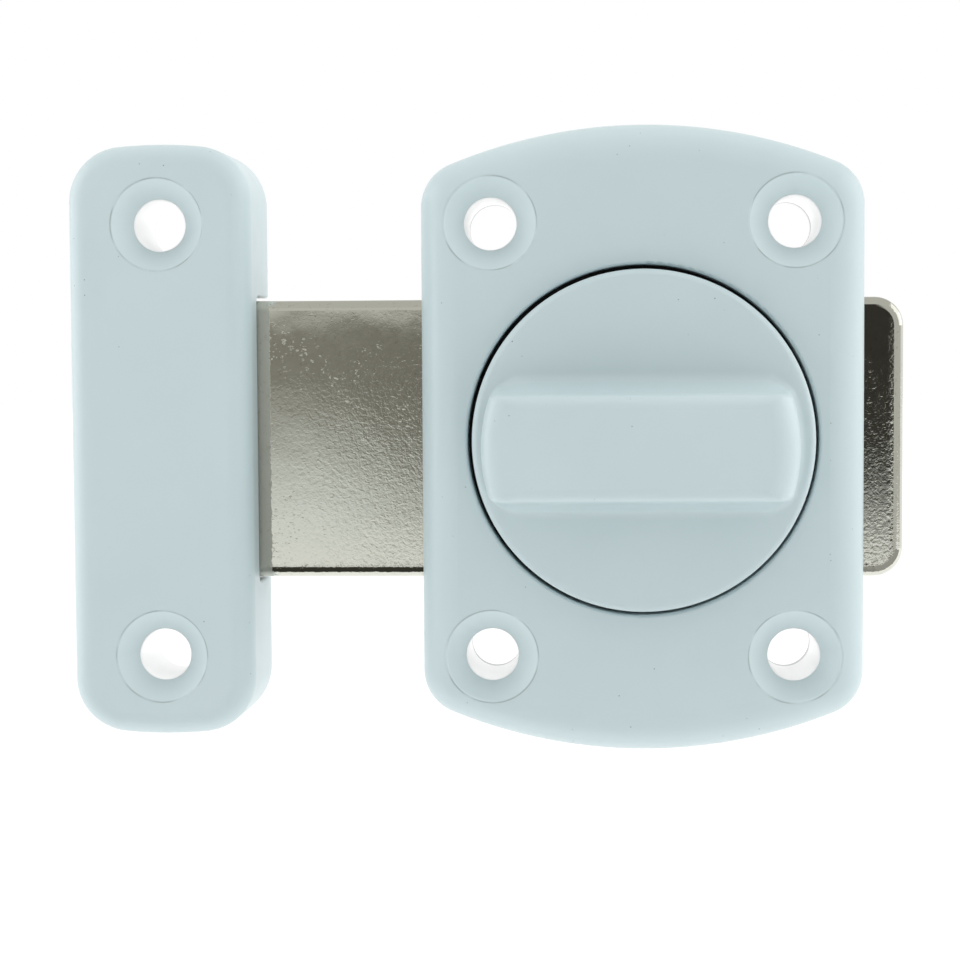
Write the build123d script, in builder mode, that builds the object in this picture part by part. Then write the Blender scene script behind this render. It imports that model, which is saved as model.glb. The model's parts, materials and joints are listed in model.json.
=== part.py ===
from build123d import *
import os
from math import cos, pi, radians, sin, tan

# Surface door bolt with a turn knob, and the keeper that the bolt shoots into.
# All sizes are in millimetres. The door face is the plane y = 0, the front points
# to -Y, +Z is up, and the origin lies on the axis of the knob. A height is a
# distance out from the door. The bolt is drawn thrown, with its nose in the keeper.

# Case, with its outline measured at the door
case_width = 42.6
case_height = 60.3
case_end_radius = 48.8
case_corner_radius = 4.6
case_edge_round = 3.6
case_draft = 1.0
case_wall = 2.2
case_front_wall = 3.0

# Countersunk screws of the case and of the keeper, and how far in from the sides
# and the ends they stand
screw_side_inset = 6.9
screw_end_inset = 9.55
screw_hole_radius = 2.5
screw_head_radius = 4.45
screw_head_angle = 90
screw_rim_round = 0.25
screw_boss_radius = 5.3

# Back plate, let into the back of the case and held by two flush rivets
plate_thickness = 1.0
plate_lip = 1.1
plate_fit = 0.08
rivet_end_inset = 5.35
rivet_radius = 1.25
rivet_head_radius = 2.1
rivet_head_angle = 90
rivet_length = 6.0
rivet_fit = 0.02
rivet_post_radius = 2.7

# Bolt
bolt_width = 27.2
bolt_thickness = 5.0
bolt_rear_stand = 4.1
bolt_engagement = 6.4
bolt_rear_corner = 2.8
bolt_nose_corner = 1.4
bolt_edge_round = 1.0
slide_fit = 0.08
guide_rail_thickness = 2.4
notch_edge_round = 0.3

# Turning parts, with the crank pin halfway out on the cam plate
pin_radius = 2.3
pin_shank_radius = 1.8
pin_tip_gap = 0.4
slot_fit = 0.12
cam_lip = 1.4
cam_thickness = 2.0
cam_gap = 0.15
seat_fit = 0.05
seat_wall = 2.0
tenon_side = 8.0
tenon_corner = 1.0
tenon_fit = 0.02

# Knob, with its aperture set in from the sides of the case
aperture_side = 4.7
aperture_round = 0.3
knob_gap = 0.5
knob_proud = 2.2
knob_rim_round = 0.6
bar_end_land = 1.2
bar_width = 10.4
bar_height = 8.0
bar_draft = 2.5
bar_edge_round = 0.9
bar_left_round = 1.7
bar_right_round = 2.8
bar_foot_round = 0.35
knob_wall = 2.4
core_corner = 0.8

# Wave washer between the cam plate and the front wall of the case
washer_room = 1.17
washer_thickness = 0.35
washer_waves = 3
points_per_wave = 8
washer_gap = 0.05
washer_margin = 0.15

# Keeper, with its outline measured at the door
keeper_width = 18.0
keeper_height = 57.5
keeper_end_radius = 41.0
keeper_corner_radius = 5.5
keeper_depth = 11.2
keeper_edge_round = 2.2
keeper_draft = 1.0
keeper_wall = 2.0
keeper_front_wall = 2.6
keeper_screw_inset = 7.95
keeper_gap = 16.1
keeper_fit = 0.4
keeper_boss_radius = 4.5
keeper_rib = 1.6

# Heights out from the door, radii and places that follow from the sizes
bolt_back = plate_thickness + slide_fit
bolt_front = bolt_back + bolt_thickness
guide_height = bolt_front + slide_fit
cam_back = bolt_front + cam_gap
cam_front = cam_back + cam_thickness
wall_inside = cam_front + washer_room
case_depth = wall_inside + case_front_wall
knob_face = case_depth + knob_proud
aperture_radius = case_width / 2 - aperture_side
knob_radius = aperture_radius - knob_gap
bar_end_radius = knob_radius - bar_end_land
cam_radius = aperture_radius + cam_lip
seat_radius = cam_radius + seat_fit
crank_radius = cam_radius / 2
screw_pitch_x = case_width - 2 * screw_side_inset
screw_pitch_z = case_height - 2 * screw_end_inset
rivet_pitch = case_height - 2 * rivet_end_inset
keeper_pitch_z = keeper_height - 2 * keeper_screw_inset
travel = 2 * crank_radius
keeper_x = -(case_width / 2 + keeper_gap + keeper_width / 2)
bolt_nose_x = -(case_width / 2 + keeper_gap + bolt_engagement)
bolt_rear_x = case_width / 2 + bolt_rear_stand
notch_width = bolt_width + 2 * slide_fit

door = Plane.XZ
from_behind = Plane(origin=(0, 0, 0), x_dir=(1, 0, 0), z_dir=(0, 1, 0))


def bowed_outline(width, height, end_radius, corner_radius):
    """Straight sides and bowed ends: a rectangle trimmed by two large circles."""
    with BuildSketch() as outline:
        Rectangle(width, height)
        with Locations((0, height / 2 - end_radius)):
            Circle(end_radius, mode=Mode.INTERSECT)
        with Locations((0, end_radius - height / 2)):
            Circle(end_radius, mode=Mode.INTERSECT)
        fillet(outline.vertices(), corner_radius)
    return outline.sketch


def pin_in_slot(degrees):
    """Centre of the crank pin, seen from the bolt, with the knob turned so far."""
    turned = radians(degrees)
    along = crank_radius * (1 - cos(turned)) - travel * degrees / 180
    return (along, crank_radius * sin(turned))


def rim_edges(edges, front):
    """Of the edges that the countersinks left, those of their rims."""
    rim_height = front - (screw_head_radius - screw_hole_radius) / 2
    curved = edges.filter_by(GeomType.LINE, reverse=True)
    return curved.filter_by(lambda edge: -edge.center().Y > rim_height)


def mouth_edges(edges, middle, width):
    """Of the edges that a notch left, those in the outer sides, clear of the door."""
    raised = edges.filter_by(lambda edge: -edge.center().Y > notch_edge_round)
    return raised.filter_by(lambda edge: abs(edge.center().X - middle) > width / 2 - notch_edge_round)


case_outline = bowed_outline(case_width, case_height, case_end_radius, case_corner_radius)
keeper_outline = bowed_outline(keeper_width, keeper_height, keeper_end_radius, keeper_corner_radius)

# Slot of the bolt. The pin runs up one side of it and down the other, so the slot
# is the loop that the pin draws, in arcs through its places at these knob angles,
# widened by the pin and its clearance. The loop ends where it starts.
slot_angles = (0, 20, 40, 55, 70, 90, 110, 125, 140, 160, 0)
slot_places = [pin_in_slot(angle) for angle in slot_angles]
with BuildSketch() as pin_slot:
    with BuildLine():
        for start in range(0, len(slot_places) - 2, 2):
            ThreePointArc(slot_places[start], slot_places[start + 1], slot_places[start + 2])
    make_face()
    offset(amount=pin_radius + slot_fit, mode=Mode.REPLACE)

# Case: a drafted shell with a rounded front, cast with its bosses, rails and seat
with BuildPart() as case:
    with BuildSketch(door):
        add(case_outline)
    extrude(amount=case_depth, taper=case_draft)
    fillet(case.faces().sort_by(Axis.Y)[0].edges(), case_edge_round)
    with BuildSketch(door):
        offset(case_outline, amount=-case_wall)
    extrude(amount=wall_inside, mode=Mode.SUBTRACT)
    with BuildSketch(door):
        offset(case_outline, amount=-plate_lip)
    extrude(amount=plate_thickness, mode=Mode.SUBTRACT)
    # Screw bosses, rivet posts and the rails that guide the bolt, trimmed to the shell
    with BuildSketch(door.offset(plate_thickness)):
        with GridLocations(screw_pitch_x, screw_pitch_z, 2, 2):
            Circle(screw_boss_radius)
        with GridLocations(0, rivet_pitch, 1, 2):
            Circle(rivet_post_radius)
        with GridLocations(0, notch_width + guide_rail_thickness, 1, 2):
            Rectangle(case_width, guide_rail_thickness)
        offset(case_outline, amount=-case_wall / 2, mode=Mode.INTERSECT)
    extrude(amount=wall_inside - plate_thickness)
    # Ring round the cam plate, its seat and the aperture of the knob
    with BuildSketch(door.offset(guide_height)):
        Circle(seat_radius + seat_wall)
        offset(case_outline, amount=-case_wall / 2, mode=Mode.INTERSECT)
    extrude(amount=wall_inside - guide_height)
    with BuildSketch(door.offset(guide_height)):
        Circle(seat_radius)
    extrude(amount=wall_inside - guide_height, mode=Mode.SUBTRACT)
    with BuildSketch(door.offset(wall_inside)):
        Circle(aperture_radius)
    extrude(amount=case_front_wall, mode=Mode.SUBTRACT)
    fillet(case.faces().sort_by(Axis.Y)[0].inner_wires()[0].edges(), aperture_round)
    # Notches of the bolt, open to the back so that it drops in over the pin
    with BuildSketch(Plane.YZ) as notch:
        Rectangle(guide_height, notch_width, align=(Align.MAX, Align.CENTER))
        fillet(notch.vertices().group_by(Axis.X)[0], bolt_edge_round)
    extrude(amount=case_width, both=True, mode=Mode.SUBTRACT)
    fillet(mouth_edges(case.edges(Select.LAST), 0, case_width), notch_edge_round)
    with Locations(door.offset(case_depth)):
        with GridLocations(screw_pitch_x, screw_pitch_z, 2, 2):
            CounterSinkHole(screw_hole_radius, screw_head_radius, counter_sink_angle=screw_head_angle)
    fillet(rim_edges(case.edges(Select.LAST), case_depth), screw_rim_round)
    with Locations(door.offset(rivet_length)):
        with GridLocations(0, rivet_pitch, 1, 2):
            Hole(rivet_radius + rivet_fit, depth=rivet_length)
case.part.label = "case"

# Back plate: fills the back of the case, with a tab behind the bolt at each side
with BuildPart() as back_plate:
    with BuildSketch(door):
        offset(case_outline, amount=-plate_lip - plate_fit)
        Rectangle(case_width, notch_width - 2 * plate_fit)
        with GridLocations(screw_pitch_x, screw_pitch_z, 2, 2):
            Circle(screw_hole_radius, mode=Mode.SUBTRACT)
    extrude(amount=plate_thickness)
    with Locations(from_behind):
        with GridLocations(0, rivet_pitch, 1, 2):
            CounterSinkHole(rivet_radius + rivet_fit, rivet_head_radius + rivet_fit,
                            counter_sink_angle=rivet_head_angle)
back_plate.part.label = "back_plate"

# Rivets: flush countersunk heads, shanks driven into the posts of the case
with BuildPart() as plate_rivets:
    with BuildSketch(door):
        with GridLocations(0, rivet_pitch, 1, 2):
            Circle(rivet_radius)
    extrude(amount=rivet_length)
    with BuildSketch(door):
        with GridLocations(0, rivet_pitch, 1, 2):
            Circle(rivet_head_radius)
    rivet_head_height = (rivet_head_radius - rivet_radius) / tan(radians(rivet_head_angle / 2))
    extrude(amount=rivet_head_height, taper=rivet_head_angle / 2)
plate_rivets.part.label = "plate_rivets"

# Bolt: a flat bar with rounded edges, and the slot that the crank pin drives
with BuildPart() as bolt:
    with BuildSketch(door.offset(bolt_back)) as bolt_face:
        with Locations(((bolt_nose_x + bolt_rear_x) / 2, 0)):
            Rectangle(bolt_rear_x - bolt_nose_x, bolt_width)
        fillet(bolt_face.vertices().group_by(Axis.X)[-1], bolt_rear_corner)
        fillet(bolt_face.vertices().group_by(Axis.X)[0], bolt_nose_corner)
    extrude(amount=bolt_thickness)
    fillet(bolt.faces().sort_by(Axis.Y)[0].edges(), bolt_edge_round)
    with BuildSketch(door.offset(bolt_back)):
        with Locations((-crank_radius, 0)):
            add(pin_slot.sketch)
    extrude(amount=bolt_thickness, mode=Mode.SUBTRACT)
bolt.part.label = "bolt"

# Cam plate: traps the knob behind the front wall and carries the crank pin
tenon_hole = tenon_side + 2 * tenon_fit
with BuildPart() as cam_plate:
    with BuildSketch(door.offset(cam_back)):
        Circle(cam_radius)
        RectangleRounded(tenon_hole, tenon_hole, tenon_corner, mode=Mode.SUBTRACT)
        with Locations((-crank_radius, 0)):
            Circle(pin_shank_radius + tenon_fit, mode=Mode.SUBTRACT)
    extrude(amount=cam_thickness)
cam_plate.part.label = "cam_plate"

# Crank pin: runs in the slot of the bolt, with its shank riveted into the cam plate
with BuildPart() as crank_pin:
    with BuildSketch(door.offset(plate_thickness + pin_tip_gap)):
        with Locations((-crank_radius, 0)):
            Circle(pin_radius)
    extrude(amount=cam_back - plate_thickness - pin_tip_gap)
    with BuildSketch(door.offset(cam_back)):
        with Locations((-crank_radius, 0)):
            Circle(pin_shank_radius)
    extrude(amount=cam_thickness)
crank_pin.part.label = "crank_pin"

# Grip bar: its ends are turned about the knob's axis, rolled over more on the right,
# and its drafted sides and the edges round them are cut and rounded after that
with BuildPart() as grip_bar:
    for end_round, turn in ((bar_right_round, 180), (bar_left_round, -180)):
        with BuildSketch(Plane.YZ) as end_profile:
            with Locations((-knob_face, 0)):
                Rectangle(bar_height, bar_end_radius, align=(Align.MAX, Align.MIN))
            fillet(end_profile.vertices().sort_by(Axis.X)[:2].sort_by(Axis.Y)[-1], end_round)
        revolve(axis=Axis.Y, revolution_arc=turn)
    with BuildSketch(door.offset(knob_face)):
        Rectangle(2 * knob_radius, bar_width)
    extrude(amount=bar_height, taper=bar_draft, mode=Mode.INTERSECT)
    long_sides = grip_bar.faces().sort_by(Axis.Z)[0].edges() + grip_bar.faces().sort_by(Axis.Z)[-1].edges()
    fillet(long_sides.group_by(Axis.Y)[0:-1], bar_edge_round)

# Knob: a disc with the grip bar, and a square tenon that turns the cam plate
with BuildPart() as knob:
    with BuildSketch(door.offset(cam_front)):
        Circle(knob_radius)
    extrude(amount=knob_face - cam_front)
    fillet(knob.faces().sort_by(Axis.Y)[0].edges(), knob_rim_round)
    add(grip_bar.part)
    disc_face = knob.faces().filter_by(Axis.Y).sort_by(Axis.Y)[1]
    fillet(disc_face.inner_wires()[0].edges(), bar_foot_round)
    # Cores behind the bar, one on each side of the tenon, keep the casting's walls even
    core_length = bar_end_radius - tenon_side / 2 - 2 * knob_wall
    with BuildSketch(door.offset(cam_front)) as cores:
        with GridLocations(tenon_side + 2 * knob_wall + core_length, 0, 2, 1):
            Rectangle(core_length, bar_width - 2 * knob_wall)
        fillet(cores.vertices(), core_corner)
    extrude(amount=knob_face + bar_height - knob_wall - cam_front, taper=bar_draft, mode=Mode.SUBTRACT)
    with BuildSketch(door.offset(cam_back)):
        RectangleRounded(tenon_side, tenon_side, tenon_corner)
    extrude(amount=cam_thickness)
knob.part.label = "knob"

# Wave washer: presses the cam plate away from the front wall, so the knob stays put
washer_inner_radius = aperture_radius + washer_margin
washer_outer_radius = cam_radius - washer_margin
washer_radius = (washer_inner_radius + washer_outer_radius) / 2
washer_height = (cam_front + wall_inside) / 2
washer_swing = (wall_inside - cam_front - washer_thickness) / 2 - washer_gap


def wave(height):
    """Closed wave round the washer's ring, about a height out from the door."""
    points = []
    steps = points_per_wave * washer_waves
    for step in range(steps):
        turned = 2 * pi * step / steps
        out = height + washer_swing * cos(washer_waves * turned)
        points.append((washer_radius * cos(turned), -out, washer_radius * sin(turned)))
    return points


with BuildLine() as wave_guide:
    Spline(*wave(case_depth), periodic=True)
with BuildPart() as wave_washer:
    with BuildLine() as wave_path:
        Spline(*wave(washer_height), periodic=True)
    with BuildSketch(Plane(origin=wave(washer_height)[0], x_dir=(1, 0, 0), z_dir=(0, 0, 1))):
        Rectangle(washer_outer_radius - washer_inner_radius, washer_thickness)
    sweep(path=wave_path.line, binormal=wave_guide.wires()[0])
wave_washer.part.label = "wave_washer"

# Keeper: a drafted shell, open at the back, with a notch that takes the bolt's nose
keeper_door = Plane(origin=(keeper_x, 0, 0), x_dir=(1, 0, 0), z_dir=(0, -1, 0))
keeper_inside = keeper_depth - keeper_front_wall
pocket_height = bolt_width + 2 * keeper_fit
with BuildPart() as keeper:
    with BuildSketch(keeper_door):
        add(keeper_outline)
    extrude(amount=keeper_depth, taper=keeper_draft)
    fillet(keeper.faces().sort_by(Axis.Y)[0].edges(), keeper_edge_round)
    with BuildSketch(keeper_door):
        offset(keeper_outline, amount=-keeper_wall)
    extrude(amount=keeper_inside, mode=Mode.SUBTRACT)
    # Screw bosses with their ribs, and the walls above and below the pocket
    with BuildSketch(keeper_door):
        with GridLocations(0, keeper_pitch_z, 1, 2):
            Circle(keeper_boss_radius)
            Rectangle(keeper_width, keeper_rib)
        with GridLocations(0, pocket_height + keeper_rib, 1, 2):
            Rectangle(keeper_width, keeper_rib)
        offset(keeper_outline, amount=-keeper_wall / 2, mode=Mode.INTERSECT)
    extrude(amount=keeper_inside)
    with BuildSketch(Plane.YZ.offset(keeper_x)) as notch:
        Rectangle(bolt_front + keeper_fit, pocket_height, align=(Align.MAX, Align.CENTER))
        fillet(notch.vertices().group_by(Axis.X)[0], bolt_edge_round)
    extrude(amount=keeper_width, mode=Mode.SUBTRACT)
    fillet(mouth_edges(keeper.edges(Select.LAST), keeper_x, keeper_width), notch_edge_round)
    with Locations(keeper_door.offset(keeper_depth)):
        with GridLocations(0, keeper_pitch_z, 1, 2):
            CounterSinkHole(screw_hole_radius, screw_head_radius, counter_sink_angle=screw_head_angle)
    fillet(rim_edges(keeper.edges(Select.LAST), keeper_depth), screw_rim_round)
keeper.part.label = "keeper"

os.makedirs("parts", exist_ok=True)
for piece in (case, back_plate, plate_rivets, bolt, cam_plate, crank_pin, knob, wave_washer, keeper):
    export_step(piece.part, f"parts/{piece.part.label}.step")
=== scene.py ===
import json
from math import copysign, cos, hypot, pi, radians, sin, sqrt, tan

import bmesh
import bpy
from bpy.props import FloatProperty, FloatVectorProperty, PointerProperty
from mathutils import Matrix, Vector


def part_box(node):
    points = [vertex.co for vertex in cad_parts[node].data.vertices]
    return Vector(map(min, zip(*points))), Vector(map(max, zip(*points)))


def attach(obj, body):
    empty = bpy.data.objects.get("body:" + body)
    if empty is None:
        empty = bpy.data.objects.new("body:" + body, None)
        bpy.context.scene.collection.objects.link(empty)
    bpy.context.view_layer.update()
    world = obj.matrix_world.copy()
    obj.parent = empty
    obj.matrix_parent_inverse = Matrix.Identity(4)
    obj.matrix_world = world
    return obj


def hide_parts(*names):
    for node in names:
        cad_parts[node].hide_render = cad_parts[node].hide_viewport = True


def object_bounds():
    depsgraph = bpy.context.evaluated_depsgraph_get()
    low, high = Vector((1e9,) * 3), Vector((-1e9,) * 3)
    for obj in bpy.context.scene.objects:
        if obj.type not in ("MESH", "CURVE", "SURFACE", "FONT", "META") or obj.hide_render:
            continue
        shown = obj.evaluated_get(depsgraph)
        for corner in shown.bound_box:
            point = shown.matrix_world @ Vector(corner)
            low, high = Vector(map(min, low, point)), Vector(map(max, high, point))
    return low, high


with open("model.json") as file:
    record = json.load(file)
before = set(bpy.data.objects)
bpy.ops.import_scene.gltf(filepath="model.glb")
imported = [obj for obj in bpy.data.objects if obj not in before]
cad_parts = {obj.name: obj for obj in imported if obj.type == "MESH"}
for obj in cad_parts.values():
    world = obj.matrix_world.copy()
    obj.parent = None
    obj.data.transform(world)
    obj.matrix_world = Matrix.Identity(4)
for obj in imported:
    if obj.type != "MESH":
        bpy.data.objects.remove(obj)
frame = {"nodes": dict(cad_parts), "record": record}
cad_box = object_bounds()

bl_info = {
    "name": "Door Bolt Finishes",
    "version": (1, 0, 0),
    "blender": (4, 5, 0),
    "location": "View3D > Sidebar > Door Bolt",
    "description": "Dresses a turn-knob door bolt and its keeper in paint, nickel and steel, with a studio",
    "category": "Object",
}

MM = 0.001

# The screw holes, with the radius of their bore and of their countersink's rim in millimetres
SCREWS = {mount["name"]: mount for mount in frame["record"]["mounts"] if mount["kind"] == "bolt_pattern"}
SCREW_HOLE = SCREWS["case_screws"]["dims"]["hole_r_mm"]
SCREW_HEAD = 4.45

# The grip bar and its disc as the casting has them, in metres
BAR_SIDE = 5.2 * MM
BAR_END = 14.9 * MM
BAR_DRAFT = radians(2.5)
EDGE_ROUND = 0.9 * MM
FOOT_ROUND = 0.35 * MM
RIM_ROUND = 0.6 * MM
KNOB_WALL = 2.4 * MM

# Distance below which two points of the knob are one, and angle from which an edge stays sharp
WELD = 0.0002 * MM
SHARP_FROM = radians(35)

# Planes that cut the copy of the knob: shares of the foot's height, and millimetres along the bar
FOOT_CUTS = (0.02, 0.06, 0.12, 0.2, 0.3, 0.42, 0.56, 0.72, 0.88, 1.0)
END_CUTS = (11.0, 11.5, 12.0, 12.5, 13.0, 13.4, 13.8)

# Depth in the bar below which its pocket lies and stays, and how far from an edge its round is felt
POCKET_DEPTH = 0.97 * KNOB_WALL
EDGE_REACH = 3 * MM

# Where each change of the bar begins and ends, FLARE_FADE in shares of the radius of the disc's flat face
EDGE_FADE = (0.74 * BAR_END, 0.87 * BAR_END)
FLARE_SIDE = (0.6 * BAR_SIDE, 0.95 * BAR_SIDE)
FLARE_FADE = (0.75, 0.93)
INSET_RISE = (0.5 * BAR_END, BAR_END)

# Where the bolt's skin changes, in millimetres from the knob's axis; a border fades in and out again
GRAIN_TOP = (5.5, 9.5)
GRAIN_ALONG = (-35, -26)
REAR_BORDER = ((23.7, 24.3), (24.4, 24.7))
LOW_BORDER = ((-12.1, -12.7), (-13.0, -13.3))

# Name, setting of the power, place and width of each lamp, in metres
LAMPS = (("side_lamp", "side_power", (0.34, 0.02, 0.20), 0.40),
         ("left_lamp", "left_power", (-0.36, 0.0, 0.10), 0.32),
         ("top_lamp", "top_power", (-0.05, 0.05, 0.42), 0.30))
LAMP_COLOUR = (1.0, 0.99, 0.97)

# Side of the square floor, in metres
FLOOR_SIDE = 8

# Where each change of light in the room before the object begins and ends, in millimetres
DARKER_ACROSS = (-105, 85)
LOW_LIGHT = (2, -44)
LOW_LIGHT_SINKS = (-95, -40)
TOP_LIGHT = (18.5, 26)
TOP_LIGHT_ENDS = (-40, 60)
BOTTOM_LIGHT = (-51, -58)
RIGHT_LIGHT = (104, 160)

# Where the room below grows lighter: the axis, and where that begins and ends, in millimetres
BELOW_LIGHTER = (("X", -10, 40), ("X", -72, -95), ("Y", -205, -240))

# Colours of the room
DIM_LEFT = (0.29, 0.28, 0.245)
DIM_RIGHT = (0.042, 0.040, 0.034)
LOW_WHITE = (0.90, 0.94, 0.92)
TOP_GREY = (0.68, 0.68, 0.64)
BOTTOM_WHITE = (1.0, 1.0, 0.98)
RIGHT_GREY = (0.60, 0.60, 0.57)
ABOVE_GREY = (0.62, 0.62, 0.59)
BELOW_DARK = (0.045, 0.045, 0.035)
BELOW_GREY = (0.42, 0.42, 0.40)


# Sizes and colours a user may change

class KnobForm(bpy.types.PropertyGroup):
    """How the grip bar stands on its disc."""
    bar_height: FloatProperty(
        name="Bar height", description="How far the grip bar stands out from the disc", default=8 * MM,
        min=MM, max=30 * MM, unit="LENGTH", precision=5)
    edge_round: FloatProperty(
        name="Edge round", description="Radius of the round along the bar's long edges", default=1.3 * MM,
        min=EDGE_ROUND, max=2 * MM, unit="LENGTH", precision=5)
    foot_flare: FloatProperty(
        name="Foot flare", description="How far the long sides of the bar spread where they meet the disc",
        default=1.4 * MM, min=0, max=2.5 * MM, unit="LENGTH", precision=5)
    foot_height: FloatProperty(
        name="Foot height", description="Height over which the long sides spread", default=5 * MM,
        min=MM, max=8 * MM, unit="LENGTH", precision=5)
    bar_drop: FloatProperty(
        name="Bar drop", description="How far the bar lies below the middle of the disc", default=0.43 * MM,
        min=0, max=0.5 * MM, unit="LENGTH", precision=5)
    end_inset: FloatProperty(
        name="Right end inset", description="How far the top of the bar's right end is drawn in",
        default=0.8 * MM, min=0, max=1.5 * MM, unit="LENGTH", precision=5)


class PaintFinish(bpy.types.PropertyGroup):
    """Pale paint on the case, the knob and the keeper."""
    colour: FloatVectorProperty(
        name="Paint", description="Colour of the paint", subtype="COLOR", size=3, min=0, max=1,
        default=(0.527, 0.627, 0.648))
    shade: FloatVectorProperty(
        name="Paint shade", description="Colour where the paint lies a little thicker", subtype="COLOR",
        size=3, min=0, max=1, default=(0.508, 0.610, 0.634))
    # This colour also paints the shade line along the countersink rims.
    speck_and_rim_shade: FloatVectorProperty(
        name="Specks", description="Colour of the dust specks baked into the paint", subtype="COLOR", size=3,
        min=0, max=1, default=(0.11, 0.12, 0.12))
    # Painted light: the countersinks take this lighter colour to lift the shade that falls in them.
    pits_and_seat_light: FloatVectorProperty(
        name="Paint in the screw seats", description="Colour of the thinner paint in the countersinks",
        subtype="COLOR", size=3, min=0, max=1, default=(0.60, 0.705, 0.725))
    bare: FloatVectorProperty(
        name="Bare metal", description="Colour of the unpainted metal inside the screw holes",
        subtype="COLOR", size=3, min=0, max=1, default=(0.98, 0.99, 0.99))
    gloss: FloatProperty(
        name="Roughness", description="Roughness of the paint", default=0.33, min=0.05, max=1,
        subtype="FACTOR")
    peel_depth: FloatProperty(
        name="Orange peel", description="Depth of the ripple that spraying leaves", default=0.004 * MM,
        min=0, max=0.05 * MM, unit="LENGTH", precision=6)
    speck_radius: FloatProperty(
        name="Speck radius", description="Radius of the largest specks", default=0.075 * MM, min=0,
        max=0.5 * MM, unit="LENGTH", precision=6)


class NickelFinish(bpy.types.PropertyGroup):
    """Nickel plating on the cast bolt."""
    colour: FloatVectorProperty(
        name="Nickel", description="Colour of the plating", subtype="COLOR", size=3, min=0, max=1,
        default=(0.64, 0.64, 0.58))
    tarnish: FloatVectorProperty(
        name="Dull nickel", description="Colour of the plating in the hollows of the grain", subtype="COLOR",
        size=3, min=0, max=1, default=(0.56, 0.555, 0.49))
    grain_size: FloatProperty(
        name="Grain size", description="Distance from one bump of the cast grain to the next",
        default=0.20 * MM, min=0.1 * MM, max=3 * MM, unit="LENGTH", precision=5)
    grain_depth: FloatProperty(
        name="Grain depth", description="Depth of the shallow grain on the casting", default=0.0044 * MM,
        min=0, max=0.1 * MM, unit="LENGTH", precision=6)
    gloss: FloatProperty(
        name="Roughness", description="Roughness of the plating", default=0.045, min=0.02, max=1,
        subtype="FACTOR")
    rubbed_end: FloatProperty(
        name="Rubbed end", description="Where along the bolt the end that the keeper rubbed matt begins",
        default=-36.35 * MM, min=-60 * MM, max=0, unit="LENGTH", precision=5)


class SteelFinish(bpy.types.PropertyGroup):
    """Zinc plating and oiled dark steel on the hidden pieces."""
    zinc: FloatVectorProperty(
        name="Zinc", description="Colour of the zinc plating", subtype="COLOR", size=3, min=0, max=1,
        default=(0.55, 0.56, 0.57))
    dark: FloatVectorProperty(
        name="Dark steel", description="Colour of the oiled steel", subtype="COLOR", size=3, min=0, max=1,
        default=(0.030, 0.031, 0.034))
    zinc_gloss: FloatProperty(
        name="Zinc roughness", description="Roughness of the zinc plating", default=0.34, min=0.05, max=1,
        subtype="FACTOR")
    dark_gloss: FloatProperty(
        name="Dark roughness", description="Roughness of the oiled steel", default=0.5, min=0.05, max=1,
        subtype="FACTOR")


class StudioSetup(bpy.types.PropertyGroup):
    """Floor, surroundings, lamps and camera."""
    floor: FloatVectorProperty(
        name="Floor", description="Colour of the floor", subtype="COLOR", size=3, min=0, max=1,
        default=(0.90, 0.90, 0.90))
    front_light: FloatProperty(
        name="Light from the front", description="Strength of the surroundings before the object",
        default=0.51, min=0, max=4)
    side_light: FloatProperty(
        name="Light from the sides", description="Strength of the surroundings beside and behind the object",
        default=1.42, min=0, max=4)
    floor_drop: FloatProperty(
        name="Floor below", description="Distance from the object's lowest point down to the floor",
        default=45 * MM, min=0, max=1, unit="LENGTH")
    side_power: FloatProperty(
        name="Side lamp", description="Power of the soft lamp at the upper right", default=0.42, min=0,
        max=50, unit="POWER")
    left_power: FloatProperty(
        name="Left lamp", description="Power of the soft lamp at the left", default=0.26, min=0, max=50,
        unit="POWER")
    top_power: FloatProperty(
        name="Top lamp", description="Power of the soft lamp above", default=0.12, min=0, max=50,
        unit="POWER")
    camera_place: FloatVectorProperty(
        name="Camera", description="Place of the camera", subtype="XYZ", unit="LENGTH", size=3,
        default=(-5.055 * MM, -213.2 * MM, 7.466 * MM))
    yaw: FloatProperty(name="Yaw", description="Turn of the camera to its right", subtype="ANGLE",
                       default=-0.05164)
    pitch: FloatProperty(name="Pitch", description="Tilt of the camera upwards", subtype="ANGLE",
                         default=-0.05551)
    roll: FloatProperty(name="Roll", description="Roll of the camera", subtype="ANGLE", default=-0.005833)
    lens: FloatProperty(name="Lens", description="Focal length on a sensor 36 mm wide", default=79.5,
                        min=10, max=500)


class DoorBoltSettings(bpy.types.PropertyGroup):
    """Everything about the door bolt that can be set in the panel."""
    knob: PointerProperty(type=KnobForm)
    paint: PointerProperty(type=PaintFinish)
    nickel: PointerProperty(type=NickelFinish)
    steel: PointerProperty(type=SteelFinish)
    studio: PointerProperty(type=StudioSetup)


# Materials

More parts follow.
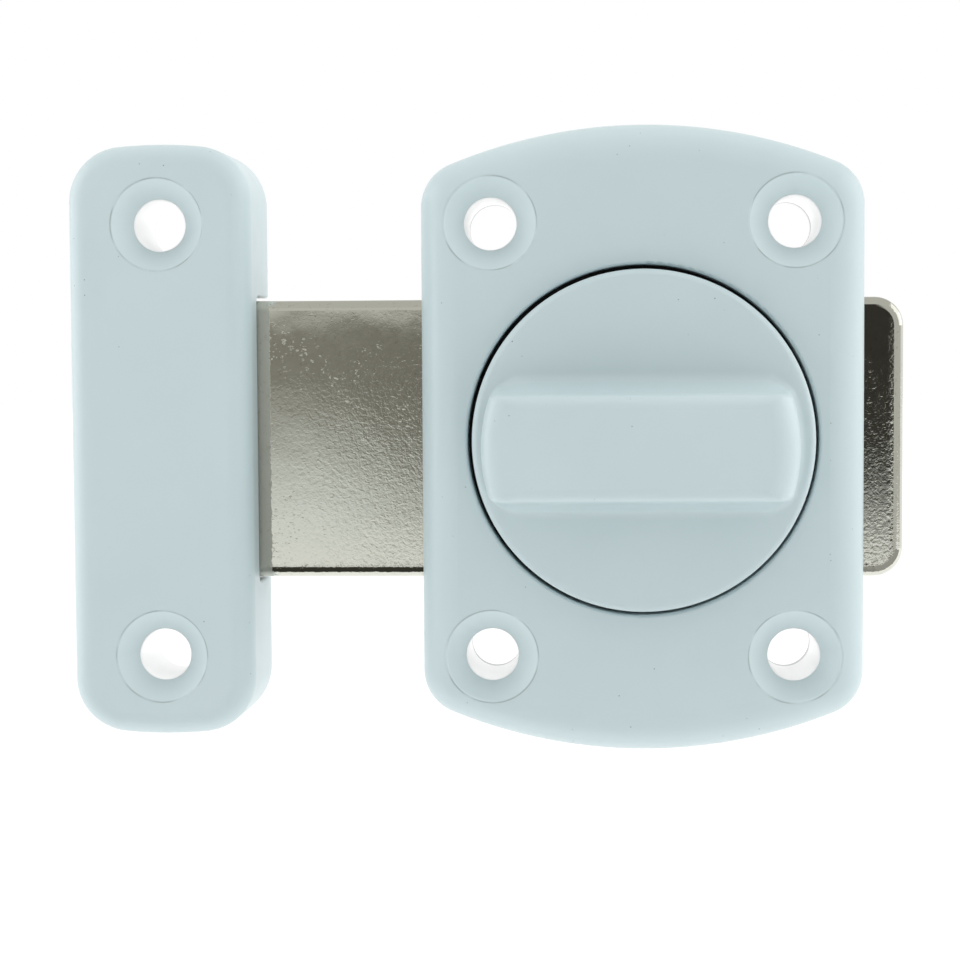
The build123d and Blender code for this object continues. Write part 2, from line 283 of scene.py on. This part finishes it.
class Surface:
    """A material under construction, with short calls for its nodes."""

    def __init__(self, name):
        self.material = bpy.data.materials.new(name)
        self.material.use_nodes = True
        self.tree = self.material.node_tree
        self.tree.nodes.clear()
        self.output = self.node("ShaderNodeOutputMaterial")
        self.shader = self.node("ShaderNodeBsdfPrincipled")
        self.link(self.shader, "BSDF", self.output, "Surface")
        place = self.node("ShaderNodeTexCoord")
        self.millimetres = self.node("ShaderNodeMapping")
        self.millimetres.inputs["Scale"].default_value = (1 / MM,) * 3
        self.link(place, "Object", self.millimetres, "Vector")

    def node(self, kind, **values):
        made = self.tree.nodes.new(kind)
        for name, value in values.items():
            setattr(made, name, value)
        return made

    def link(self, source, output, target, socket):
        self.tree.links.new(source.outputs[output], target.inputs[socket])

    def world_axes(self):
        """The three coordinates of a point in the scene, in metres."""
        axes = self.node("ShaderNodeSeparateXYZ")
        self.link(self.node("ShaderNodeNewGeometry"), "Position", axes, "Vector")
        return axes

    def own_axes(self):
        """The three coordinates of a point on the piece, in millimetres."""
        axes = self.node("ShaderNodeSeparateXYZ")
        self.link(self.millimetres, "Vector", axes, "Vector")
        return axes

    def noise(self, per_mm, detail=2.0, rough=0.5, stretch=None, distortion=0.0):
        """Noise with that many waves to the millimetre, drawn out along an axis if asked."""
        made = self.node("ShaderNodeTexNoise")
        made.inputs["Scale"].default_value = per_mm
        made.inputs["Detail"].default_value = detail
        made.inputs["Roughness"].default_value = rough
        made.inputs["Distortion"].default_value = distortion
        source = self.millimetres
        if stretch:
            source = self.node("ShaderNodeMapping")
            source.inputs["Scale"].default_value = stretch
            self.link(self.millimetres, "Vector", source, "Vector")
        self.link(source, "Vector", made, "Vector")
        return made

    def cells(self, per_mm):
        """Cells with that many to the millimetre, and the chance values of each cell."""
        made = self.node("ShaderNodeTexVoronoi")
        made.inputs["Scale"].default_value = per_mm
        self.link(self.millimetres, "Vector", made, "Vector")
        chance = self.node("ShaderNodeSeparateColor")
        self.link(made, "Color", chance, "Color")
        return made, chance

    def span(self, source, output, low, high, to_low=0.0, to_high=1.0):
        """Maps low..high of a value to to_low..to_high, and stops there."""
        made = self.node("ShaderNodeMapRange", clamp=True)
        for socket, value in (("From Min", low), ("From Max", high), ("To Min", to_low), ("To Max", to_high)):
            made.inputs[socket].default_value = value
        self.link(source, output, made, "Value")
        return made

    def math(self, operation, *inputs):
        """A sum of that kind over numbers and (node, output) pairs."""
        made = self.node("ShaderNodeMath", operation=operation)
        for index, value in enumerate(inputs):
            if isinstance(value, tuple):
                self.tree.links.new(value[0].outputs[value[1]], made.inputs[index])
            else:
                made.inputs[index].default_value = value
        return made

    def multiply(self, first, second):
        return self.math("MULTIPLY", first, second)

    def from_screws(self):
        """Distance in millimetres from the axis of the nearest screw hole."""
        axes = self.own_axes()
        up = self.math("ABSOLUTE", (axes, "Z"))
        reach = []
        for mount in SCREWS.values():
            aside = self.math("ABSOLUTE", (self.math("SUBTRACT", (axes, "X"), mount["pos_m"][0] / MM), 0))
            aside = self.math("SUBTRACT", (aside, 0), mount["dims"].get("spacing_x_mm", 0) / 2)
            above = self.math("SUBTRACT", (up, 0), mount["dims"]["spacing_y_mm"] / 2)
            flat = self.node("ShaderNodeCombineXYZ")
            self.link(aside, "Value", flat, "X")
            self.link(above, "Value", flat, "Y")
            length = self.node("ShaderNodeVectorMath", operation="LENGTH")
            self.link(flat, "Vector", length, 0)
            reach.append(length)
        return self.math("MINIMUM", *((length, "Value") for length in reach))

    def mix(self, factor, output, below, above):
        """Mixes two colours, each a plain colour or another mix."""
        made = self.node("ShaderNodeMix", data_type="RGBA")
        self.link(factor, output, made, 0)
        for index, colour in ((6, below), (7, above)):
            if isinstance(colour, bpy.types.Node):
                self.tree.links.new(colour.outputs[2], made.inputs[index])
            else:
                made.inputs[index].default_value = (*colour, 1)
        return made

    def bump(self, source, output, depth, strength=1.0, over=None):
        made = self.node("ShaderNodeBump")
        made.inputs["Strength"].default_value = strength
        made.inputs["Distance"].default_value = depth
        self.link(source, output, made, "Height")
        if over:
            self.link(over, "Normal", made, "Normal")
        return made

    def finish(self, colour=None, roughness=None, normal=None, **sockets):
        """Wires colour, roughness and normal to the shader, and sets its plain sockets."""
        if colour:
            self.tree.links.new(colour.outputs[2], self.shader.inputs["Base Color"])
        if roughness:
            self.link(roughness, "Result", self.shader, "Roughness")
        if normal:
            self.link(normal, "Normal", self.shader, "Normal")
        for name, value in sockets.items():
            self.shader.inputs[name.replace("_", " ")].default_value = value
        return self.material


def sprayed_paint(finish):
    """Semi-gloss paint with faint clouds, orange peel and dust specks, with painted light that lifts the
    countersinks and a painted shade line along their rims, over bare and bright screw bores.
    """
    paint = Surface("sprayed_paint")
    clouds = paint.span(paint.noise(0.06, detail=3), "Fac", 0.35, 0.65)
    coat = paint.mix(clouds, "Result", tuple(finish.shade), tuple(finish.colour))
    dust, chance = paint.cells(0.9)
    small = paint.span(dust, "Distance", 0.5 * finish.speck_radius / MM, finish.speck_radius / MM, 1, 0)
    kept = paint.span(chance, "Red", 0.70, 1.0, 0, 0.9)
    specks = paint.multiply((small, "Result"), (kept, "Result"))
    coat = paint.mix(specks, "Value", coat, tuple(finish.speck_and_rim_shade))
    away = paint.from_screws()
    # Painted light: the countersinks are coloured lighter to lift the shade that falls in them.
    pits_and_seat_light = paint.span(away, "Value", SCREW_HEAD - 0.15, SCREW_HEAD - 0.05, 1, 0)
    coat = paint.mix(pits_and_seat_light, "Result", coat, tuple(finish.pits_and_seat_light))
    # Painted shade: a dark line, broken by noise, along each countersink's rim.
    off_rim = paint.math("ABSOLUTE", (paint.math("SUBTRACT", (away, 0), SCREW_HEAD), 0))
    rim = paint.span(off_rim, "Value", 0.02, 0.08, 1, 0)
    broken = paint.span(paint.noise(0.35, detail=1), "Fac", 0.42, 0.60, 0.0, 0.45)
    coat = paint.mix(paint.multiply((rim, "Result"), (broken, "Result")), "Value", coat, tuple(finish.speck_and_rim_shade))
    bore = paint.span(away, "Value", SCREW_HOLE + 0.02, SCREW_HOLE + 0.05, 1, 0)
    coat = paint.mix(bore, "Result", coat, tuple(finish.bare))
    peel = paint.noise(0.8, detail=1)
    fine = paint.noise(5.0, detail=2)
    normal = paint.bump(peel, "Fac", finish.peel_depth, strength=0.6)
    normal = paint.bump(fine, "Fac", finish.peel_depth / 4, strength=0.5, over=normal)
    normal = paint.bump(paint.span(off_rim, "Value", 0.02, 0.12), "Result", 0.03 * MM, over=normal)
    paint.link(bore, "Result", paint.shader, "Metallic")
    gloss = paint.span(paint.noise(0.3, detail=3), "Fac", 0.3, 0.7, finish.gloss - 0.03, finish.gloss + 0.05)
    return paint.finish(coat, gloss, normal, Specular_IOR_Level=0.55)


def grained_nickel(finish):
    """Nickel over a cast skin: a shallow grain under bright plating, with flecks and a few dull pits."""
    nickel = Surface("grained_nickel")
    waves = 0.5 * MM / finish.grain_size
    coarse = nickel.noise(waves, detail=1.5, rough=0.5, distortion=0.6)
    fine = nickel.noise(2.7 * waves, detail=1.0, rough=0.5)
    hollows = nickel.span(coarse, "Fac", 0.22, 0.42)
    plating = nickel.mix(hollows, "Result", tuple(finish.tarnish), tuple(finish.colour))
    dots = nickel.span(nickel.noise(3.4, detail=1, stretch=(0.7, 1, 1.2)), "Fac", 0.64, 0.76)
    groups = nickel.span(nickel.noise(0.22, detail=2), "Fac", 0.46, 0.60)
    flecks = nickel.multiply((dots, "Result"), (groups, "Result"))
    pits, chance = nickel.cells(1.3)
    pits_and_seat_light = nickel.multiply((nickel.span(pits, "Distance", 0.03, 0.09, 1, 0), "Result"),
                           (nickel.span(chance, "Green", 0.90, 0.96), "Result"))
    plating = nickel.mix(pits_and_seat_light, "Value", plating, tuple(0.5 * c for c in finish.tarnish))
    axes = nickel.own_axes()
    below_top = nickel.span(axes, "Z", *GRAIN_TOP, 1, 0.12)
    towards_case = nickel.span(axes, "X", *GRAIN_ALONG, 0.6, 1.3)
    skin = nickel.multiply((below_top, "Result"), (towards_case, "Result"))
    swell = nickel.bump(nickel.noise(0.3, detail=1), "Fac", 2 * finish.grain_depth)
    grain = nickel.bump(nickel.multiply((coarse, "Fac"), (skin, "Value")), "Value",
                        1.4 * finish.grain_depth, over=swell)
    grain = nickel.bump(nickel.multiply((fine, "Fac"), (skin, "Value")), "Value",
                        0.45 * finish.grain_depth, over=grain)
    normal = nickel.bump(flecks, "Value", 0.9 * finish.grain_depth, over=grain)

    def band(axis, fades_in, fades_out):
        return nickel.multiply((nickel.span(axes, axis, *fades_in), "Result"),
                               (nickel.span(axes, axis, *fades_out, 1, 0), "Result"))

    border = nickel.math("MAXIMUM", (band("X", *REAR_BORDER), "Value"), (band("Z", *LOW_BORDER), "Value"))
    uneven = nickel.math("SUBTRACT", (nickel.noise(1.8, detail=2.5, rough=0.65), "Fac"), 0.5)
    normal = nickel.bump(nickel.multiply((uneven, "Value"), (border, "Value")), "Value",
                         9 * finish.grain_depth, over=normal)
    gloss = nickel.span(nickel.noise(0.8, detail=4), "Fac", 0.3, 0.7, 0.6 * finish.gloss, 1.5 * finish.gloss)
    edge = nickel.math("ADD", (axes, "X"), (nickel.span(coarse, "Fac", 0.3, 0.7, -0.08, 0.08), "Result"))
    rubbed = nickel.span(edge, "Value", finish.rubbed_end / MM - 0.05, finish.rubbed_end / MM + 0.05, 1, 0)
    gloss = nickel.math("MAXIMUM", (gloss, "Result"), (nickel.multiply((rubbed, "Result"), 0.5), "Value"))
    nickel.link(gloss, "Value", nickel.shader, "Roughness")
    return nickel.finish(plating, None, normal, Metallic=1.0)


def zinc_plate(finish):
    """Zinc plating: brushed along the sheet, with faint spangles."""
    zinc = Surface("zinc_plate")
    chance = zinc.cells(0.9)[1]
    plating = zinc.mix(zinc.span(chance, "Red", 0, 1), "Result", tuple(0.92 * c for c in finish.zinc),
                       tuple(finish.zinc))
    rolled = zinc.noise(1.2, detail=4, rough=0.65, stretch=(0.15, 4, 4))
    normal = zinc.bump(rolled, "Fac", 0.004 * MM)
    gloss = zinc.span(rolled, "Fac", 0.3, 0.7, finish.zinc_gloss - 0.08, finish.zinc_gloss + 0.12)
    return zinc.finish(plating, gloss, normal, Metallic=1.0)


def oiled_steel(finish):
    """Dark steel with a film of oil: blotches of blue and brown over a turned surface."""
    steel = Surface("oiled_steel")
    blotch = steel.span(steel.noise(0.35, detail=4), "Fac", 0.35, 0.65)
    film = steel.mix(blotch, "Result", tuple(finish.dark),
                     (1.9 * finish.dark[0], 1.5 * finish.dark[1], 1.2 * finish.dark[2]))
    skin = steel.noise(4.0, detail=3)
    normal = steel.bump(skin, "Fac", 0.004 * MM)
    gloss = steel.span(blotch, "Result", 0, 1, finish.dark_gloss - 0.1, finish.dark_gloss + 0.08)
    return steel.finish(film, gloss, normal, Metallic=0.6)


def finish_of(name, settings):
    """The material of that finish, made once."""
    made = bpy.data.materials.get(name)
    if made:
        return made
    return {
        "sprayed_paint": lambda: sprayed_paint(settings.paint),
        "grained_nickel": lambda: grained_nickel(settings.nickel),
        "zinc_plate": lambda: zinc_plate(settings.steel),
        "oiled_steel": lambda: oiled_steel(settings.steel),
    }[name]()


def dress(node, material):
    """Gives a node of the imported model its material."""
    piece = frame["nodes"][node]
    for place in piece.material_slots:
        place.material = material
    if not piece.material_slots:
        raise RuntimeError(f"{node} has no material slot")


# The knob with its bar rounder at the edges and spread at the foot

def smooth_step(value, low, high):
    """0 up to low, 1 from high on, and a smooth rise between them."""
    share = min(max((value - low) / (high - low), 0), 1)
    return share * share * (3 - 2 * share)


def round_edge(out, x, z, form):
    """Height and side of a point near the bar's long edges once their round has grown."""
    lean = tan(BAR_DRAFT)
    down = form.bar_height - out
    inward = BAR_SIDE - out * lean - abs(z)
    if not (-WELD < down < EDGE_REACH and -WELD < inward < EDGE_REACH):
        return out, z
    grown = 1 + (form.edge_round / EDGE_ROUND - 1) * (1 - smooth_step(abs(x), *EDGE_FADE))
    tangent = EDGE_ROUND * tan((pi / 2 - BAR_DRAFT) / 2) + WELD

    def moved(depth):
        if depth < tangent:
            return depth * grown
        return EDGE_REACH - (EDGE_REACH - depth) * (EDGE_REACH - grown * tangent) / (EDGE_REACH - tangent)

    out = form.bar_height - moved(down)
    return out, copysign(BAR_SIDE - out * lean - moved(inward), z)


def spread_bar(place, form, face, rim):
    """Where a point of the knob goes when the bar is reshaped; the rim and the pocket stay."""
    x, y, z = place
    out = face - y
    if out < -WELD or hypot(x, z) > rim - WELD:
        return place
    if (out < form.bar_height - POCKET_DEPTH and abs(x) < BAR_END - POCKET_DEPTH
            and abs(z) < BAR_SIDE - POCKET_DEPTH):
        return place
    out, z = round_edge(out, x, z, form)
    y = face - out
    foot = BAR_SIDE + FOOT_ROUND
    carried = 1
    if abs(z) > foot + WELD:
        reach = sqrt(rim ** 2 - x ** 2)
        carried = (reach - abs(z)) / (reach - foot)
    climb = sqrt(1 - (1 - min(out / form.foot_height, 1)) ** 2)
    spread = form.foot_flare * (1 - climb) * carried
    faded = smooth_step(abs(x), FLARE_FADE[0] * rim, FLARE_FADE[1] * rim)
    spread *= smooth_step(abs(z), *FLARE_SIDE) * (1 - faded)
    drawn_in = form.end_inset * climb * smooth_step(x, *INSET_RISE)
    return Vector((x - drawn_in, y, z + copysign(spread, z) - form.bar_drop * carried))


def spread_knob(form):
    """A copy of the cast knob with its bar reshaped, in place of the plain one."""
    lowest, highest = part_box("knob")
    face = lowest.y + form.bar_height
    mesh = frame["nodes"]["knob"].data.copy()
    mesh.name = "turn_knob"
    mesh.attributes.remove(mesh.attributes["custom_normal"])
    shape = bmesh.new()
    shape.from_mesh(mesh)
    bmesh.ops.remove_doubles(shape, verts=shape.verts, dist=WELD)
    cuts = [((0, face - share * form.foot_height, 0), (0, 1, 0)) for share in FOOT_CUTS]
    cuts += [((side * place * MM, 0, 0), (1, 0, 0)) for place in END_CUTS for side in (-1, 1)]
    for spot, across in cuts:
        bmesh.ops.bisect_plane(shape, geom=[*shape.verts, *shape.edges, *shape.faces], dist=WELD,
                               plane_co=spot, plane_no=across)
    for vertex in shape.verts:
        vertex.co = spread_bar(vertex.co.copy(), form, face, highest.x - RIM_ROUND)
    for side in shape.faces:
        side.smooth = True
    shape.to_mesh(mesh)
    shape.free()
    mesh.set_sharp_from_angle(angle=SHARP_FROM)
    knob = bpy.data.objects.new("turn_knob", mesh)
    bpy.context.scene.collection.objects.link(knob)
    knob.modifiers.new("even_faces", "WEIGHTED_NORMAL").keep_sharp = True
    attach(knob, "knob")
    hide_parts("knob")
    return knob


# Operators

class DOORBOLT_OT_case(bpy.types.Operator):
    """Paint the case"""
    bl_idname = "doorbolt.case"
    bl_label = "Paint Case"

    def execute(self, context):
        dress("case", finish_of("sprayed_paint", context.scene.door_bolt))
        return {"FINISHED"}


class DOORBOLT_OT_knob(bpy.types.Operator):
    """Reshape the grip bar and paint the turn knob"""
    bl_idname = "doorbolt.knob"
    bl_label = "Shape and Paint Knob"

    def execute(self, context):
        settings = context.scene.door_bolt
        knob = spread_knob(settings.knob)
        knob.data.materials[0] = finish_of("sprayed_paint", settings)
        return {"FINISHED"}


class DOORBOLT_OT_keeper(bpy.types.Operator):
    """Paint the keeper"""
    bl_idname = "doorbolt.keeper"
    bl_label = "Paint Keeper"

    def execute(self, context):
        dress("keeper", finish_of("sprayed_paint", context.scene.door_bolt))
        return {"FINISHED"}


class DOORBOLT_OT_bolt(bpy.types.Operator):
    """Plate the sliding bolt"""
    bl_idname = "doorbolt.bolt"
    bl_label = "Plate Bolt"

    def execute(self, context):
        dress("bolt", finish_of("grained_nickel", context.scene.door_bolt))
        return {"FINISHED"}


class DOORBOLT_OT_back_plate(bpy.types.Operator):
    """Plate the back plate and its rivets"""
    bl_idname = "doorbolt.back_plate"
    bl_label = "Plate Back"

    def execute(self, context):
        for node in ("back_plate", "plate_rivets"):
            dress(node, finish_of("zinc_plate", context.scene.door_bolt))
        return {"FINISHED"}


class DOORBOLT_OT_turning_parts(bpy.types.Operator):
    """Finish the cam plate, the crank pin and the wave washer"""
    bl_idname = "doorbolt.turning_parts"
    bl_label = "Finish Turning Parts"

    def execute(self, context):
        settings = context.scene.door_bolt
        for node, finish in (("cam_plate", "oiled_steel"), ("wave_washer", "oiled_steel"),
                             ("crank_pin", "zinc_plate")):
            dress(node, finish_of(finish, settings))
        return {"FINISHED"}


def stage_card(name, place, facing, width, height, material):
    """A flat card of the studio, facing a point."""
    card = bmesh.new()
    bmesh.ops.create_grid(card, x_segments=1, y_segments=1, size=0.5)
    bmesh.ops.scale(card, vec=(width, height, 1), verts=card.verts)
    mesh = bpy.data.meshes.new(name)
    card.to_mesh(mesh)
    card.free()
    mesh.materials.append(material)
    piece = bpy.data.objects.new(name, mesh)
    bpy.context.scene.collection.objects.link(piece)
    piece.location = place
    piece.rotation_mode = "QUATERNION"
    piece.rotation_quaternion = (Vector(facing) - Vector(place)).to_track_quat("Z", "Y")
    return piece


class DOORBOLT_OT_stage(bpy.types.Operator):
    """Make the floor, the surroundings, the lamps and the camera"""
    bl_idname = "doorbolt.stage"
    bl_label = "Set Stage"

    def execute(self, context):
        studio = context.scene.door_bolt.studio
        self.set_floor(studio)
        self.set_surroundings(context.scene, studio)
        self.set_lamps(studio)
        self.set_room()
        self.set_camera(context.scene, studio)
        context.scene.view_settings.view_transform = "Standard"
        return {"FINISHED"}

    def set_floor(self, studio):
        surface = Surface("studio_floor")
        weave = surface.noise(0.02, detail=2)
        tone = surface.mix(weave, "Fac", tuple(0.985 * c for c in studio.floor), tuple(studio.floor))
        surface.finish(tone, Roughness=0.9, Specular_IOR_Level=0.2)
        height = cad_box[0].z - studio.floor_drop
        stage_card("studio_floor", (0, 0, height), (0, 0, height + 1), FLOOR_SIDE, FLOOR_SIDE,
                   surface.material)

    def set_surroundings(self, scene, studio):
        world = bpy.data.worlds.new("studio_surroundings")
        scene.world = world
        world.use_nodes = True
        tree = world.node_tree
        tree.nodes.clear()
        made = {name: tree.nodes.new(kind) for name, kind in (
            ("out", "ShaderNodeOutputWorld"), ("mix", "ShaderNodeMixShader"),
            ("seen", "ShaderNodeBackground"), ("light", "ShaderNodeBackground"),
            ("path", "ShaderNodeLightPath"), ("place", "ShaderNodeTexCoord"),
            ("axes", "ShaderNodeSeparateXYZ"), ("level", "ShaderNodeMapRange"),
            ("or", "ShaderNodeMath"), ("any", "ShaderNodeMath"))}
        made["or"].operation = made["any"].operation = "MAXIMUM"
        for socket, value in (("From Min", -1), ("From Max", 0), ("To Min", studio.front_light),
                              ("To Max", studio.side_light)):
            made["level"].inputs[socket].default_value = value
        for source, output, target, socket in (
                ("place", "Generated", "axes", "Vector"), ("axes", "Y", "level", "Value"),
                ("level", "Result", "light", "Strength"), ("path", "Is Camera Ray", "or", 0),
                ("path", "Is Glossy Ray", "or", 1), ("or", 0, "any", 0),
                ("path", "Is Transmission Ray", "any", 1), ("any", 0, "mix", 0),
                ("light", 0, "mix", 1), ("seen", 0, "mix", 2), ("mix", 0, "out", "Surface")):
            tree.links.new(made[source].outputs[output], made[target].inputs[socket])
        made["seen"].inputs["Strength"].default_value = 1
        made["seen"].inputs["Color"].default_value = (1, 1, 1, 1)
        made["light"].inputs["Color"].default_value = (1, 1, 1, 1)

    def set_lamps(self, studio):
        for name, power, place, width in LAMPS:
            lamp = bpy.data.lights.new(name, "AREA")
            lamp.energy = getattr(studio, power)
            lamp.size = width
            lamp.color = LAMP_COLOUR
            stand = bpy.data.objects.new(name, lamp)
            bpy.context.scene.collection.objects.link(stand)
            stand.location = place
            stand.rotation_mode = "QUATERNION"
            stand.rotation_quaternion = (-Vector(place)).to_track_quat("-Z", "Y")
            stand.visible_camera = False

    def glow(self, name, colour=(1, 1, 1)):
        """A surface that shines evenly in that colour."""
        surface = Surface(name)
        surface.tree.nodes.remove(surface.shader)
        lit = surface.node("ShaderNodeEmission")
        lit.inputs["Color"].default_value = (*colour, 1)
        surface.link(lit, "Emission", surface.output, "Surface")
        return surface, lit

    def room_before(self):
        """The room before the object: dim, with light low down, at the top left and at the right."""
        room, lit = self.glow("room_before")
        axes = room.world_axes()

        def across(left, right, to_left=0.0, to_right=1.0):
            return room.span(axes, "X", left * MM, right * MM, to_left, to_right)

        def upward(low, high):
            return room.span(axes, "Z", low * MM, high * MM)

        dim = room.mix(across(*DARKER_ACROSS), "Result", DIM_LEFT, DIM_RIGHT)
        delay = across(*LOW_LIGHT_SINKS, 0, 0.56)
        rise = room.node("ShaderNodeMath", operation="SUBTRACT", use_clamp=True)
        room.link(upward(*LOW_LIGHT), "Result", rise, 0)
        room.link(delay, "Result", rise, 1)
        view = room.mix(rise, "Value", dim, LOW_WHITE)
        high = room.multiply((upward(*TOP_LIGHT), "Result"), (across(*TOP_LIGHT_ENDS, 1, 0), "Result"))
        for factor, output, colour in ((high, "Value", TOP_GREY),
                                       (upward(*BOTTOM_LIGHT), "Result", BOTTOM_WHITE),
                                       (across(*RIGHT_LIGHT), "Result", RIGHT_GREY)):
            view = room.mix(factor, output, view, colour)
        room.tree.links.new(view.outputs[2], lit.inputs["Color"])
        return room

    def room_below(self):
        """The room below: dark, and lighter to both sides and further forward."""
        room, lit = self.glow("room_below")
        axes = room.world_axes()
        shade = BELOW_DARK
        for axis, dark, light in BELOW_LIGHTER:
            lighter = room.span(axes, axis, dark * MM, light * MM)
            shade = room.mix(lighter, "Result", shade, BELOW_GREY)
        room.tree.links.new(shade.outputs[2], lit.inputs["Color"])
        return room

    def set_room(self):
        """Stands up the cards of the room, which are seen only in shiny surfaces."""
        before = self.room_before()
        above = self.glow("room_above", ABOVE_GREY)[0]
        below = self.room_below()
        for name, spot, facing, width, height, surface in (
                ("room_before", (0, -0.5, 0), (0, 0, 0), 2.4, 2.4, before),
                ("room_above", (0, 0, 0.3), (0, 0, 0), 1.2, 1.0, above),
                ("room_right", (0.6, -0.25, 0.12), (0, -0.25, 0.12), 0.5, 0.36, above),
                ("room_below", (0, -0.196, -0.062), (0, -0.196, 0), 0.6, 0.34, below)):
            card = stage_card(name, spot, facing, width, height, surface.material)
            card.visible_camera = card.visible_diffuse = card.visible_shadow = False
            card.visible_transmission = card.visible_volume_scatter = False

    def set_camera(self, scene, studio):
        lens = bpy.data.cameras.new("camera")
        lens.lens = studio.lens
        lens.sensor_width = 36
        lens.sensor_fit = "HORIZONTAL"
        lens.clip_start = 0.01
        camera = bpy.data.objects.new("camera", lens)
        scene.collection.objects.link(camera)
        ahead = Vector((sin(studio.yaw) * cos(studio.pitch), cos(studio.yaw) * cos(studio.pitch),
                        sin(studio.pitch)))
        level = Vector((cos(studio.yaw), -sin(studio.yaw), 0))
        above = level.cross(ahead)
        right = cos(studio.roll) * level + sin(studio.roll) * above
        up = -sin(studio.roll) * level + cos(studio.roll) * above
        turn = Matrix((right, up, -ahead)).transposed().to_4x4()
        camera.matrix_world = Matrix.Translation(studio.camera_place) @ turn
        scene.camera = camera


class DOORBOLT_PT_parts(bpy.types.Panel):
    """Buttons and settings of the door bolt"""
    bl_idname = "DOORBOLT_PT_parts"
    bl_label = "Door Bolt"
    bl_space_type = "VIEW_3D"
    bl_region_type = "UI"
    bl_category = "Door Bolt"

    def draw(self, context):
        settings = context.scene.door_bolt
        for step in STEPS:
            self.layout.operator(step.bl_idname)
        for group in (settings.knob, settings.paint, settings.nickel, settings.steel, settings.studio):
            box = self.layout.box()
            for name in group.__annotations__:
                box.prop(group, name)


GROUPS = (KnobForm, PaintFinish, NickelFinish, SteelFinish, StudioSetup, DoorBoltSettings)
STEPS = (DOORBOLT_OT_case, DOORBOLT_OT_knob, DOORBOLT_OT_keeper, DOORBOLT_OT_bolt,
         DOORBOLT_OT_back_plate, DOORBOLT_OT_turning_parts, DOORBOLT_OT_stage)


def register():
    for made in (*GROUPS, *STEPS, DOORBOLT_PT_parts):
        bpy.utils.register_class(made)
    bpy.types.Scene.door_bolt = PointerProperty(type=DoorBoltSettings)


def unregister():
    del bpy.types.Scene.door_bolt
    for made in reversed((*GROUPS, *STEPS, DOORBOLT_PT_parts)):
        bpy.utils.unregister_class(made)


def main():
    """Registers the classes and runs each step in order."""
    register()
    bpy.ops.doorbolt.case()
    bpy.ops.doorbolt.knob()
    bpy.ops.doorbolt.keeper()
    bpy.ops.doorbolt.bolt()
    bpy.ops.doorbolt.back_plate()
    bpy.ops.doorbolt.turning_parts()
    bpy.ops.doorbolt.stage()


if __name__ == "__main__":
    main()
